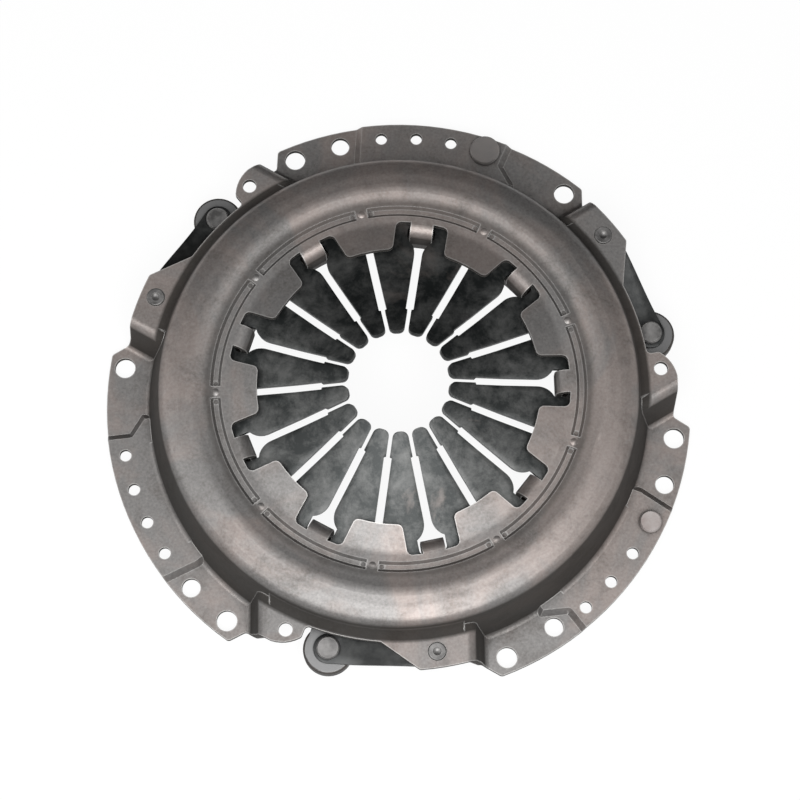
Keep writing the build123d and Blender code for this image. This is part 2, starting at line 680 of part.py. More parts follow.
def balance_rivet(angle, head_r, head_h):
    """Rivet in a balance hole, with its tail under the raised segment."""
    x, y = polar(BOLT_CIRCLE_R, angle)
    shank = drum(BALANCE_HOLE_R - BALANCE_CLEARANCE, BALANCE_RISE - BALANCE_TAIL_H, BALANCE_Z + head_h, x, y)
    head = chamfer(drum(head_r, BALANCE_Z, BALANCE_Z + head_h, x, y).edges().sort_by(Axis.Z)[-1], HEAD_BEVEL)
    tail = drum(BALANCE_TAIL_R, BALANCE_RISE - BALANCE_TAIL_H, BALANCE_RISE, x, y)
    return shank + head + tail


# --- all pieces ----------------------------------------------------------------------------------
def pieces():
    """Every node with its solid."""
    nodes = {
        "clutch_cover": clutch_cover(),
        "diaphragm_spring": diaphragm_spring(),
        "pivot_ring": pivot_ring(),
        "pressure_plate": pressure_plate(),
    }
    for sector in range(SECTORS):
        for leaf in range(LEAVES):
            nodes[f"strap_{sector + 1}_leaf_{leaf + 1}"] = strap_leaf(sector, leaf)
        nodes[f"lug_rivet_{sector + 1}"] = lug_rivet(sector)
        nodes[f"cover_rivet_{sector + 1}"] = cover_rivet(sector)
    small = lug_angle(0) + BALANCE_A + (BALANCE_HOLES - 1) * BALANCE_PITCH_A
    large = lug_angle(1) + BALANCE_A
    nodes["balance_rivet_small"] = balance_rivet(small, BALANCE_HEAD_R, BALANCE_HEAD_H)
    nodes["balance_rivet_large"] = balance_rivet(large, BALANCE_PLUG_R, BALANCE_PLUG_H)
    return nodes


os.makedirs("parts", exist_ok=True)
for name, solid in pieces().items():
    export_step(solid, f"parts/{name}.step")
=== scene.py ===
"""Finish and scene for the clutch cover assembly, laid out as a Blender add-on."""

from math import asin, atan2, cos, pi, radians, sin, sqrt, tan

import bmesh
import bpy
from bpy.props import FloatProperty, FloatVectorProperty, IntProperty, PointerProperty
from mathutils import Matrix, Vector


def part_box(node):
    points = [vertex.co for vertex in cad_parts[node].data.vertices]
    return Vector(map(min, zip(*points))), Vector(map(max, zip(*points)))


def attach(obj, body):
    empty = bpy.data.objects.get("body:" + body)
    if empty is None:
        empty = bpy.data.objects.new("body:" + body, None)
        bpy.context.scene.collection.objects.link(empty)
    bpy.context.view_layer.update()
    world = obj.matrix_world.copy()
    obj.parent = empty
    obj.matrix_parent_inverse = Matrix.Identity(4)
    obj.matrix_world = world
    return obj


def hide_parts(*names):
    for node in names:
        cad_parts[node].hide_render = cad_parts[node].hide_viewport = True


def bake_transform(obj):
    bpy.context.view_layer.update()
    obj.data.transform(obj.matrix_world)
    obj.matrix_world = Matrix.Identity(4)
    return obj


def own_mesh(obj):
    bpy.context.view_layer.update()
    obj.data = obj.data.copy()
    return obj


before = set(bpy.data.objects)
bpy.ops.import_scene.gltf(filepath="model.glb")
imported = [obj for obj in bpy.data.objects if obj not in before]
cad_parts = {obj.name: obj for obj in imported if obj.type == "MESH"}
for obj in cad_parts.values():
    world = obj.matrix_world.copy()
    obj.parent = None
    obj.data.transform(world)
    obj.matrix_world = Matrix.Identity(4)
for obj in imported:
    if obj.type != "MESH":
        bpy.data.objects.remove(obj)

bl_info = {
    "name": "Clutch Cover Assembly",
    "version": (1, 0, 0),
    "blender": (4, 5, 0),
    "location": "View3D > Sidebar > Clutch",
    "description": "Dresses the clutch cover assembly: finishes, spring, strap leaves and studio",
    "category": "Object",
}

MM = 0.001
SECTORS = 3
LEAVES = 3
COVER_BODY = "cover"

# fineness of the meshes
ROWS_ROUNDING = 6
ROWS_TIP = 4
ROWS_FINGER = 4
ROWS_FLARE = 8
ROWS_EYE_IN = 5
ROWS_RING = 4
ROWS_RIM = 16
EYE_START = 0.35
EYE_END = 0.4
STEP_HALF = 0.15 * MM
BEND_HALF = 2 * MM
FACES_ACROSS = 6
FACES_UNDER = 4
FACES_RIM = 6
FACES_LEAF_END = 16
FACES_HOLE = 24
ROWS_LEAF = 15
RADIUS_DIGITS = 7
JOIN_DISTANCE = 0.02 * MM
CUT_TOLERANCE = 1e-7
BEVEL_SEGMENTS = 2
BEVEL_ANGLE = radians(50)

# painted shade in the creases of small steel pieces, warm spots of cast iron and where its ground
# faces lie
CREASE_SHADE = (0.01, 0.01, 0.01)
IRON_RUST = (0.09, 0.075, 0.065)
LEVEL_SHARE = 0.99
LUG_TOLERANCE = 0.2 * MM
FRICTION_TOP = 4.0 * MM

# painted shade on steep walls, in creases, at the wall foot and in the groove, and worn edges with
# a painted highlight on the cover: bands are radii where a band starts, is full, fades and ends
FOOT_BAND = (103.8 * MM, 106.0 * MM, 109.6 * MM, 111.2 * MM)
GROOVE_BAND = (79.8 * MM, 81.0 * MM, 83.4 * MM, 86.4 * MM)
GROOVE_SHARE = 0.6
CREASE_REACH = 9 * MM
PAINTED_SHADE_SHARE = 0.88
EDGE_WEAR_AND_HIGHLIGHT_WIDTH = 0.9 * MM
EDGE_WEAR_AND_HIGHLIGHT_SHARE = 0.75

# studio
FLOOR_HALF = 3.0
FLOOR_DROP = 0.2 * MM
FLOOR_GLOW = 0.93
KEY_PLACE = (0.0, -0.50, 1.0)
KEY_SIZE = 0.9
FILL_PLACE = (-0.8, 0.0, 0.7)
FILL_SIZE = 0.6
CARD_PLACE = (0.0, 1.15, 0.85)
CARD_SCALE = (1.6, 1.10, 1.0)
CARD_COLOUR = (0.01, 0.01, 0.01)
WHITE = (1.0, 1.0, 1.0)
SENSOR_WIDTH = 36.0


# --- sizes and colours that a user may change --------------------------------------------
def length(name, default, description):
    """A length property, given in millimetres and kept in metres."""
    return FloatProperty(name=name, description=description, default=default * MM, min=0.0,
                         unit="LENGTH", subtype="DISTANCE", precision=5)


def angle(name, default, description):
    """An angle property, given in degrees and kept in radians."""
    return FloatProperty(name=name, description=description, default=radians(default),
                         unit="ROTATION", subtype="ANGLE")


def tint(name, default, description):
    """A colour property."""
    return FloatVectorProperty(name=name, description=description, default=default, size=3,
                               min=0.0, max=1.0, subtype="COLOR")


def amount(name, default, description, top=1.0):
    """A plain share or strength."""
    return FloatProperty(name=name, description=description, default=default, min=0.0, max=top,
                         subtype="FACTOR" if top == 1.0 else "NONE")


class ClutchSpringSizes(bpy.types.PropertyGroup):
    """Sizes of the diaphragm spring."""
    fingers: IntProperty(name="Fingers", description="Number of fingers", default=18, min=6)
    thickness: length("Thickness", 2.4, "Thickness of the spring steel")
    rim_radius: length("Rim radius", 96.5, "Outer radius of the disc")
    bend_radius: length("Bend radius", 45.0, "Radius where the fingers turn steeper")
    tip_radius: length("Tip radius", 22.1, "Radius of the opening between the finger tips")
    fulcrum_radius: length("Fulcrum radius", 79.7, "Radius of the ring on which the disc tilts")
    carried_radius: length("Carried radius", 92.4, "Radius from which the rim moves with the plate")
    rim_parts: IntProperty(name="Rim parts", description="Sectors of the rim outside the fulcrum",
                           default=36, min=12)
    tip_round: length("Tip rounding", 2.4, "Rounding of the corners of the finger tips")
    cone: angle("Cone angle", 12.5, "Slope of the disc and of the outer part of the fingers")
    finger_cone: angle("Finger angle", 17.0, "Slope of the inner part of the fingers")
    first_slot: angle("First slot", 21.9, "Direction of the first slot that lies under a land")
    slot_width: length("Slot width", 3.4, "Width of the slots")
    tip_slot_width: length("Tip slot width", 1.7, "Width of the slots between the finger tips")
    slot_step: length("Slot step", 33.1, "Radius where the slots grow wider")
    eye_centre: length("Eye centre", 72.0, "Radius of the centre of the round slot ends")
    eye_radius: length("Eye radius", 3.2, "Radius of the round slot ends")
    flare_start: length("Flare start", 60.0, "Radius where a window starts to flare")
    flare_end: length("Flare end", 67.8, "Radius where a window has its full width")
    window_end: length("Window end", 73.8, "Radius of the outer edge of a window")
    window_half: length("Window half width", 6.1, "Half of a window's full width")
    window_round: length("Window rounding", 1.6, "Rounding of a window's outer corners")
    edge_round: length("Edge rounding", 0.35, "Rounding of the cut edges")


class ClutchStrapSizes(bpy.types.PropertyGroup):
    """Sizes of the strap leaves."""
    width: length("Width", 13.0, "Width of a leaf")
    thickness: length("Thickness", 0.7, "Thickness of a leaf")
    circle: length("Rivet circle", 115.7, "Radius of the circle on which the strap rivets lie")
    hole_radius: length("Hole radius", 3.4, "Radius of the rivet holes")
    flat: length("Flat end", 6.0, "Length of the flat end beyond each rivet")
    first_lug: angle("First lug", -105.3, "Direction of the first lug rivet")
    span: angle("Span", 23.5, "Angle between a pack's two rivets")
    edge_round: length("Edge rounding", 0.15, "Rounding of the cut edges")


class ClutchColours(bpy.types.PropertyGroup):
    """Colours of the finishes."""
    cover: tint("Cover", (0.132, 0.127, 0.124), "Phosphated pressed steel")
    cover_warm: tint("Cover blotches", (0.185, 0.157, 0.145), "Warm blotches on the pressed steel")
    cover_stain: tint("Cover stains", (0.062, 0.053, 0.048), "Brown stains on the pressed steel")
    # painted shade for the steep walls, creases, wall foot and groove of the cover
    cover_painted_shade: tint("Cover creases", (0.013, 0.011, 0.009), "Oil and dirt in the creases")
    # bare steel on edges and in the fine grain; on the cover's convex edges it is also a painted
    # highlight
    cover_edge: tint("Cover edges", (0.42, 0.41, 0.40), "Bare steel on edges")
    spring: tint("Spring", (0.014, 0.016, 0.016), "Peened and blackened spring steel")
    spring_worn: tint("Spring worn", (0.088, 0.089, 0.087), "Grey rubbed places on the fingers")
    strap: tint("Straps", (0.012, 0.013, 0.013), "Blackened strap steel")
    iron: tint("Cast iron", (0.035, 0.034, 0.033), "Cast skin of the pressure plate")
    ground: tint("Ground iron", (0.17, 0.17, 0.17), "Machined faces of the pressure plate")
    rivet: tint("Rivets", (0.062, 0.060, 0.059), "Upset rivet heads")
    plug: tint("Balance plug", (0.165, 0.158, 0.154), "Large balance rivet")
    pale: tint("Balance rivet", (0.24, 0.205, 0.195), "Small balance rivet")
    floor: tint("Floor", (0.86, 0.86, 0.86), "Studio floor")


class ClutchStageSizes(bpy.types.PropertyGroup):
    """Camera and lamps."""
    lens: FloatProperty(name="Lens", description="Focal length in millimetres", default=117.48,
                        min=1.0, subtype="DISTANCE_CAMERA")
    elevation: angle("Elevation", 76.31, "Height of the camera's line of sight above level")
    camera_y: FloatProperty(name="Camera Y", description="Camera position in front of the axis",
                            default=-274.4 * MM, unit="LENGTH")
    camera_x: FloatProperty(name="Camera X", description="Camera position beside the axis",
                            default=0.57 * MM, unit="LENGTH")
    camera_z: length("Camera Z", 1135.4, "Camera height over the mounting plane")
    key_power: amount("Key power", 17.5, "Power of the front softbox in watts", 500.0)
    fill_power: amount("Fill power", 2.0, "Power of the side softbox in watts", 500.0)
    sky: amount("Sky", 0.14, "Brightness of the room for diffuse light", 10.0)


# --- node helpers --------------------------------------------------------------------------
class Nodes:
    """Short way to write the nodes of a material or a world."""

    def __init__(self, owner):
        self.owner = owner
        owner.use_nodes = True
        self.tree = owner.node_tree
        self.tree.nodes.clear()

    def add(self, kind, inputs=None, **settings):
        """New node with its settings; inputs are values or other nodes' sockets."""
        node = self.tree.nodes.new(kind)
        for key, value in settings.items():
            setattr(node, key, value)
        for key, value in (inputs or {}).items():
            self.put(node.inputs[key], value)
        return node

    def put(self, socket, value):
        """Link a socket, or set its value."""
        if isinstance(value, bpy.types.NodeSocket):
            self.tree.links.new(value, socket)
        elif socket.type == "RGBA" and len(value) == 3:
            socket.default_value = (*value, 1.0)
        else:
            socket.default_value = value

    def place(self):
        """Object coordinates."""
        return self.add("ShaderNodeTexCoord").outputs["Object"]

    def noise(self, scale, detail, roughness, distortion=0.0):
        """Noise of a scale in cycles per metre."""
        node = self.add("ShaderNodeTexNoise", {
            "Vector": self.place(), "Scale": scale, "Detail": detail,
            "Roughness": roughness, "Distortion": distortion})
        return node.outputs["Fac"]

    def ramp(self, value, low, high, to_low=0.0, to_high=1.0):
        """Value stretched from one range to another, clamped."""
        node = self.add("ShaderNodeMapRange", {
            "Value": value, "From Min": low, "From Max": high, "To Min": to_low, "To Max": to_high})
        return node.outputs["Result"]

    def mix(self, share, first, second):
        """Mix of two colours."""
        node = self.add("ShaderNodeMix", data_type="RGBA")
        self.put(node.inputs[0], share)
        self.put(node.inputs[6], first)
        self.put(node.inputs[7], second)
        return node.outputs[2]

    def math(self, operation, first, second=0.5):
        """One sum."""
        node = self.add("ShaderNodeMath", operation=operation)
        self.put(node.inputs[0], first)
        self.put(node.inputs[1], second)
        return node.outputs[0]

    def times(self, first, second):
        """Product of two values."""
        return self.math("MULTIPLY", first, second)

    def bump(self, height, distance, strength):
        """Normal from a height."""
        node = self.add("ShaderNodeBump", {
            "Height": height, "Distance": distance, "Strength": strength})
        return node.outputs["Normal"]

    def edge(self, radius):
        """How strongly a place lies on an outer edge, from 0 to 1."""
        bevel = self.add("ShaderNodeBevel", {"Radius": radius}, samples=6).outputs["Normal"]
        normal = self.add("ShaderNodeNewGeometry").outputs["Normal"]
        dot = self.add("ShaderNodeVectorMath", operation="DOT_PRODUCT")
        self.put(dot.inputs[0], bevel)
        self.put(dot.inputs[1], normal)
        return self.ramp(dot.outputs["Value"], 0.99, 0.86)

    def crease(self, distance, low=0.35, high=0.85):
        """How deep a place lies in a crease, from 0 to 1."""
        node = self.add("ShaderNodeAmbientOcclusion", {"Distance": distance}, samples=8)
        return self.ramp(node.outputs["AO"], high, low)

    def steep(self, low, high):
        """How steep a surface is, from 0 at one share of the upright to 1 at a lower share."""
        normal = self.add("ShaderNodeNewGeometry").outputs["Normal"]
        upright = self.add("ShaderNodeSeparateXYZ", {"Vector": normal}).outputs["Z"]
        return self.ramp(self.math("ABSOLUTE", upright), high, low)

    def ring(self, start, full, fading, end):
        """A band between two radii round the axis, from 0 to 1."""
        split = self.add("ShaderNodeSeparateXYZ", {"Vector": self.place()}).outputs
        squares = [self.times(split[axis], split[axis]) for axis in "XY"]
        radius = self.math("SQRT", self.math("ADD", *squares))
        return self.times(self.ramp(radius, start, full), self.ramp(radius, end, fading))

    def finish(self, colour, roughness, metallic, normal=None, **more):
        """Shader and output."""
        shader = self.add("ShaderNodeBsdfPrincipled", {
            "Base Color": colour, "Roughness": roughness, "Metallic": metallic, **more})
        if normal is not None:
            self.put(shader.inputs["Normal"], normal)
        output = self.add("ShaderNodeOutputMaterial")
        self.tree.links.new(shader.outputs[0], output.inputs[0])
        return self.owner


# --- finishes ------------------------------------------------------------------------------
def cover_steel(colours):
    """Phosphated pressed steel with warm blotches, worn edges with a painted highlight, and painted
    shade on steep walls, in creases, at the wall foot and in the groove.
    """
    n = Nodes(bpy.data.materials.new("pressed_steel"))
    blotches = n.noise(scale=17.0, detail=8.0, roughness=0.62, distortion=1.1)
    spots = n.noise(scale=62.0, detail=6.0, roughness=0.68, distortion=0.6)
    grain = n.noise(scale=850.0, detail=3.0, roughness=0.6)
    colour = n.mix(n.ramp(blotches, 0.44, 0.60), colours.cover, colours.cover_warm)
    colour = n.mix(n.ramp(spots, 0.48, 0.70, to_high=0.60), colour, colours.cover_stain)
    colour = n.mix(n.ramp(grain, 0.3, 0.8, to_high=0.22), colour, colours.cover_edge)
    # painted shade: steep walls, creases, the foot of the wall and the groove are darkened
    painted_shade = n.math("MAXIMUM", n.steep(0.30, 0.62), n.crease(CREASE_REACH, 0.30, 0.80))
    painted_shade = n.math("MAXIMUM", painted_shade, n.ring(*FOOT_BAND))
    painted_shade = n.math("MAXIMUM", painted_shade, n.times(n.ring(*GROOVE_BAND), GROOVE_SHARE))
    # worn bare edges, partly a painted highlight along the convex edges
    wear_and_highlight = n.edge(EDGE_WEAR_AND_HIGHLIGHT_WIDTH)
    colour = n.mix(n.times(painted_shade, PAINTED_SHADE_SHARE), colour, colours.cover_painted_shade)
    colour = n.mix(n.times(wear_and_highlight, EDGE_WEAR_AND_HIGHLIGHT_SHARE), colour, colours.cover_edge)
    dull = n.times(painted_shade, n.math("SUBTRACT", 1.0, wear_and_highlight))
    rough = n.math("ADD", n.ramp(spots, 0.3, 0.7, 0.38, 0.50), n.times(dull, 0.45))
    metal = n.math("SUBTRACT", 0.70, n.times(dull, 0.65))
    relief = n.bump(grain, distance=0.06 * MM, strength=0.5)
    return n.finish(colour, rough, metal, relief, **{"Specular IOR Level": 0.25})


def spring_steel(colours):
    """Blackened spring steel, worn grey in patches, with painted shade on its steep faces."""
    n = Nodes(bpy.data.materials.new("spring_steel"))
    patches = n.noise(scale=75.0, detail=8.0, roughness=0.74, distortion=0.2)
    rust = n.noise(scale=21.0, detail=6.0, roughness=0.6, distortion=0.5)
    grain = n.noise(scale=1300.0, detail=2.0, roughness=0.6)
    worn = n.ramp(patches, 0.42, 0.66, to_high=0.85)
    colour = n.mix(worn, colours.spring, colours.spring_worn)
    colour = n.mix(n.ramp(rust, 0.62, 0.74, to_high=0.7), colour, colours.cover_warm)
    # painted shade: steep faces, such as the cut sides, are darkened to the spring's black
    colour = n.mix(n.times(n.steep(0.30, 0.70), 0.8), colour, colours.spring)
    colour = n.mix(n.times(n.edge(0.5 * MM), 0.5), colour, colours.spring_worn)
    rough = n.ramp(patches, 0.3, 0.7, to_low=0.34, to_high=0.48)
    relief = n.bump(grain, distance=0.05 * MM, strength=0.6)
    return n.finish(colour, rough, metallic=0.65, normal=relief)


def plain_steel(name, colour, worn, rough=0.42):
    """Small steel pieces: a colour with fine mottling, painted shade in creases and worn edges."""
    n = Nodes(bpy.data.materials.new(name))
    cloud = n.noise(scale=160.0, detail=5.0, roughness=0.6)
    grain = n.noise(scale=1500.0, detail=2.0, roughness=0.6)
    mixed = n.mix(n.ramp(cloud, 0.35, 0.75, to_high=0.45), colour, worn)
    # painted shade: creases darkened by ambient occlusion
    mixed = n.mix(n.times(n.crease(2 * MM), 0.7), mixed, CREASE_SHADE)
    mixed = n.mix(n.times(n.edge(0.35 * MM), 0.6), mixed, worn)
    roughness = n.ramp(cloud, 0.3, 0.7, rough - 0.06, rough + 0.08)
    relief = n.bump(grain, distance=0.04 * MM, strength=0.5)
    return n.finish(mixed, roughness, metallic=0.6, normal=relief)


def cast_iron(colours, lug_height):
    """Dark cast skin with bright machined faces on the lugs and under the ring."""
    n = Nodes(bpy.data.materials.new("cast_iron"))
    skin = n.noise(scale=420.0, detail=6.0, roughness=0.7)
    cloud = n.noise(scale=60.0, detail=4.0, roughness=0.6)
    colour = n.mix(n.ramp(cloud, 0.35, 0.7, to_high=0.5), colours.iron, IRON_RUST)
    split = n.add("ShaderNodeSeparateXYZ", {"Vector": n.place()})
    normal = n.add("ShaderNodeNewGeometry").outputs["Normal"]
    facing = n.add("ShaderNodeSeparateXYZ", {"Vector": normal})
    up = n.math("GREATER_THAN", n.math("ABSOLUTE", facing.outputs["Z"]), LEVEL_SHARE)
    top = n.math("COMPARE", split.outputs["Z"], lug_height)
    top.node.inputs[2].default_value = LUG_TOLERANCE
    low = n.math("LESS_THAN", split.outputs["Z"], FRICTION_TOP)
    cut = n.times(up, n.math("MAXIMUM", top, low))
    colour = n.mix(cut, colour, colours.ground)
    colour = n.mix(n.times(n.edge(0.6 * MM), 0.5), colour, colours.ground)
    rough = n.math("SUBTRACT", 0.62, n.times(cut, 0.3))
    height = n.times(skin, n.math("SUBTRACT", 1.0, cut))
    relief = n.bump(height, distance=0.25 * MM, strength=0.6)
    return n.finish(colour, rough, metallic=0.6, normal=relief)


def dress(names, material):
    """Give CAD nodes a finish."""
    for name in names:
        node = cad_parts[name]
        node.data.materials.clear()
        node.data.materials.append(material)


# --- mesh helpers ----------------------------------------------------------------------------
def mesh_object(name, bm, material):
    """Object from a bmesh, with a finish, in the scene."""
    mesh = bpy.data.meshes.new(name)
    bm.to_mesh(mesh)
    bm.free()
    mesh.materials.append(material)
    made = bpy.data.objects.new(name, mesh)
    bpy.context.scene.collection.objects.link(made)
    return made


def new_piece(name, bm, material):
    """Piece of the object, with its finish."""
    piece = mesh_object(name, bm, material)
    return piece


def square(half):
    """Bmesh of one level square."""
    bm = bmesh.new()
    bmesh.ops.create_grid(bm, x_segments=1, y_segments=1, size=half)
    return bm


def add_grid(bm, lines, smooth=False):
    """Faces between neighbouring lines of vertices."""
    for low, high in zip(lines, lines[1:]):
        for i in range(len(low) - 1):
            bm.faces.new((low[i], high[i], high[i + 1], low[i + 1])).smooth = smooth


def smooth_sheet(bm):
    """Turn the faces one way and shade them smoothly."""
    bmesh.ops.recalc_face_normals(bm, faces=bm.faces)
    for face in bm.faces:
        face.smooth = True
    return bm


def thicken(piece, thickness, edge_round):
    """Give a sheet its thickness and rounded edges."""
    solid = piece.modifiers.new("thickness", "SOLIDIFY")
    solid.thickness = thickness
    solid.offset = 0.0
    solid.use_even_offset = True
    bevel = piece.modifiers.new("edges", "BEVEL")
    bevel.width = edge_round
    bevel.segments = BEVEL_SEGMENTS
    bevel.limit_method = "ANGLE"
    bevel.angle_limit = BEVEL_ANGLE


def steps(start, end, count):
    """Evenly spaced values from start to end, both included."""
    return [start + (end - start) * i / (count - 1) for i in range(count)]


# --- diaphragm spring ------------------------------------------------------------------------
def spring_height(sizes, z_fulcrum, r):
    """Height of the middle of the sheet at a radius."""
    outer = max(r, sizes.bend_radius)
    rise = (sizes.fulcrum_radius - outer) * tan(sizes.cone)
    return z_fulcrum + rise + (outer - r) * tan(sizes.finger_cone)


def tip_corner(sizes, r):
    """How far a tip's rounded corner stands back from the slot at a radius."""
    depth = sizes.tip_radius + sizes.tip_round - r
    if depth <= 0.0:
        return 0.0
    return sizes.tip_round - sqrt(max(sizes.tip_round ** 2 - depth ** 2, 0.0))


def inner_half(sizes, r):
    """Half of a slot's width up to where its outer end begins."""
    wide = sizes.slot_width if r > sizes.slot_step else sizes.tip_slot_width
    return wide / 2 + tip_corner(sizes, r)


def eye_half(sizes, r):
    """Half width at a radius of a slot that ends in a round eye."""
    across = sizes.eye_radius ** 2 - (r - sizes.eye_centre) ** 2
    if r > sizes.eye_centre:
        return sqrt(max(across, 0.0))
    return max(inner_half(sizes, r), sqrt(max(across, 0.0)))


def window_half(sizes, r):
    """Half width at a radius of a slot that ends in a window."""
    if r < sizes.flare_start:
        return inner_half(sizes, r)
    run = sizes.flare_end - sizes.flare_start
    rise = sizes.window_half - sizes.slot_width / 2
    if r < sizes.flare_end:
        arc = (run ** 2 + rise ** 2) / (2 * rise)
        out = r - sizes.flare_start
        return sizes.slot_width / 2 + arc - sqrt(max(arc ** 2 - out ** 2, 0.0))
    corner = r - (sizes.window_end - sizes.window_round)
    if corner <= 0.0:
        return sizes.window_half
    back = sizes.window_round - sqrt(max(sizes.window_round ** 2 - corner ** 2, 0.0))
    return sizes.window_half - back


def spring_stations(sizes):
    """Radii of the rows of the mesh from the tips to the fulcrum."""
    tip, step = sizes.tip_radius, sizes.slot_step
    eye_out = sizes.eye_centre + sizes.eye_radius
    corner = sizes.window_end - sizes.window_round
    bend = sizes.bend_radius
    tips = [tip + sizes.tip_round * (1 - cos(a)) for a in steps(0.0, pi / 2, ROWS_ROUNDING)]
    eye_in = sizes.eye_centre - sizes.eye_radius
    rows = tips + steps(tip + sizes.tip_round, step - STEP_HALF, ROWS_TIP)[1:]
    rows += [step + STEP_HALF, bend - BEND_HALF, bend, bend + BEND_HALF]
    rows += steps(bend + BEND_HALF, sizes.flare_start, ROWS_FINGER)[1:]
    rows += steps(sizes.flare_start, sizes.flare_end, ROWS_FLARE)[1:]
    rows += [eye_in + sizes.eye_radius * (1 - cos(a))
             for a in steps(EYE_START, pi / 2, ROWS_EYE_IN)]
    rows += [corner + sizes.window_round * sin(a) for a in steps(0.0, pi / 2, ROWS_ROUNDING)]
    rows += [sizes.eye_centre + sizes.eye_radius * sin(a)
             for a in steps(EYE_END, pi / 2, ROWS_ROUNDING)]
    rows += steps(eye_out, sizes.fulcrum_radius, ROWS_RING)[1:]
    return sorted({round(r, RADIUS_DIGITS) for r in rows})


def build_spring(sizes, z_fulcrum):
    """Sheet of the spring up to the fulcrum: every finger, and the ring past each window."""
    bm = bmesh.new()
    pitch = 2 * pi / sizes.fingers
    rows = spring_stations(sizes)
    window_row = rows.index(round(sizes.window_end, RADIUS_DIGITS))

    def vertex(r, turn):
        return bm.verts.new((r * cos(turn), r * sin(turn), spring_height(sizes, z_fulcrum, r)))

    end_half = sizes.window_half - sizes.window_round
    for finger in range(sizes.fingers):
        eye_turn = sizes.first_slot + finger * pitch
        halves = (eye_half, window_half) if finger % 2 == 0 else (window_half, eye_half)
        lines = []
        for r in rows:
            gaps = []
            for half in halves:
                past = half is window_half and r > sizes.window_end
                gaps.append(asin((end_half if past else half(sizes, r)) / r))
            turns = steps(eye_turn + gaps[0], eye_turn + pitch - gaps[1], FACES_ACROSS + 1)
            lines.append([vertex(r, turn) for turn in turns])
        add_grid(bm, lines)
        if finger % 2 == 0:
            middle = eye_turn + pitch
            under = []
            for r in rows[window_row:]:
                gap = asin(end_half / r)
                turns = steps(middle - gap, middle + gap, FACES_UNDER + 1)
                under.append([vertex(r, turn) for turn in turns])
            add_grid(bm, under)
    bmesh.ops.remove_doubles(bm, verts=bm.verts, dist=JOIN_DISTANCE)
    return smooth_sheet(bm)


def build_rim_part(sizes, z_fulcrum, turns):
    """Closed solid of one sector of the ring outside the fulcrum, over given directions."""
    bm = bmesh.new()
    half = sizes.thickness / 2
    lean = Vector((sin(sizes.cone), cos(sizes.cone)))
    flat_end = sizes.rim_radius - sizes.edge_round
    section = [(r, half) for r in steps(sizes.fulcrum_radius, flat_end, ROWS_RIM)]
    section.append((sizes.rim_radius, half - sizes.edge_round))

    def vertex(turn, r, offset):
        out = r + offset * lean.x
        z = spring_height(sizes, z_fulcrum, r) + offset * lean.y
        return bm.verts.new((out * cos(turn), out * sin(turn), z))

    tops = [[vertex(turn, r, depth) for r, depth in section] for turn in turns]
    unders = [[vertex(turn, r, -depth) for r, depth in section] for turn in turns]
    for rows in (tops, unders):
        add_grid(bm, rows, smooth=True)
    for top, under in ((tops[0], unders[0]), (tops[-1], unders[-1])):
        for i in range(len(top) - 1):
            bm.faces.new((top[i], top[i + 1], under[i + 1], under[i]))
    for i in (0, -1):
        for k in range(len(turns) - 1):
            bm.faces.new((tops[k][i], tops[k + 1][i], unders[k + 1][i], unders[k][i]))
    bmesh.ops.recalc_face_normals(bm, faces=bm.faces)
    return bm


# --- strap leaves ----------------------------------------------------------------------------
def leaf_outline(reach, half):
    """Stadium outline from the lug rivet at the origin to the cover rivet."""
    turns = steps(pi / 2, 3 * pi / 2, FACES_LEAF_END + 1)
    near = [(half * cos(a), half * sin(a)) for a in turns]
    far = [(reach - half * cos(a), -half * sin(a)) for a in turns]
    return near + far


def build_leaf(sizes, rise):
    """Sheet of one leaf in its own frame: flat at both ends, with a smooth S between them."""
    half = sizes.width / 2
    reach = 2 * sizes.circle * sin(sizes.span / 2)
    bm = bmesh.new()
    loops = [leaf_outline(reach, half)]
    for x in (0.0, reach):
        loops.append([(x + sizes.hole_radius * cos(a), sizes.hole_radius * sin(a))
                      for a in steps(0.0, 2 * pi, FACES_HOLE + 1)[:-1]])
    edges = []
    for loop in loops:
        verts = [bm.verts.new((x, y, 0.0)) for x, y in loop]
        edges += [bm.edges.new((a, b)) for a, b in zip(verts, verts[1:] + verts[:1])]
    bmesh.ops.triangle_fill(bm, edges=edges, use_beauty=True)
    for x in steps(sizes.flat, reach - sizes.flat, ROWS_LEAF):
        geometry = bm.verts[:] + bm.edges[:] + bm.faces[:]
        bmesh.ops.bisect_plane(bm, geom=geometry, dist=CUT_TOLERANCE,
                               plane_co=(x, 0, 0), plane_no=(1, 0, 0))
    for vert in bm.verts:
        share = min(max((vert.co.x - sizes.flat) / (reach - 2 * sizes.flat), 0.0), 1.0)
        vert.co.z = rise * share * share * (3 - 2 * share)
    return smooth_sheet(bm)


def strap_frame(sizes, sector):
    """Placement of a strap pack at its lug rivet, turned towards its cover rivet."""
    lug = sizes.first_lug + sector * 2 * pi / SECTORS
    near = Vector((cos(lug), sin(lug), 0.0)) * sizes.circle
    far = Vector((cos(lug + sizes.span), sin(lug + sizes.span), 0.0)) * sizes.circle
    way = far - near
    return Matrix.Translation(near) @ Matrix.Rotation(atan2(way.y, way.x), 4, "Z"), near, far


# --- operators --------------------------------------------------------------------------------
class CLUTCH_OT_cover(bpy.types.Operator):
    """Finish the pressed cover"""
    bl_idname = "clutch.cover"
    bl_label = "Cover"

    def execute(self, context):
        dress(["clutch_cover"], cover_steel(context.scene.clutch_colours))
        return {"FINISHED"}


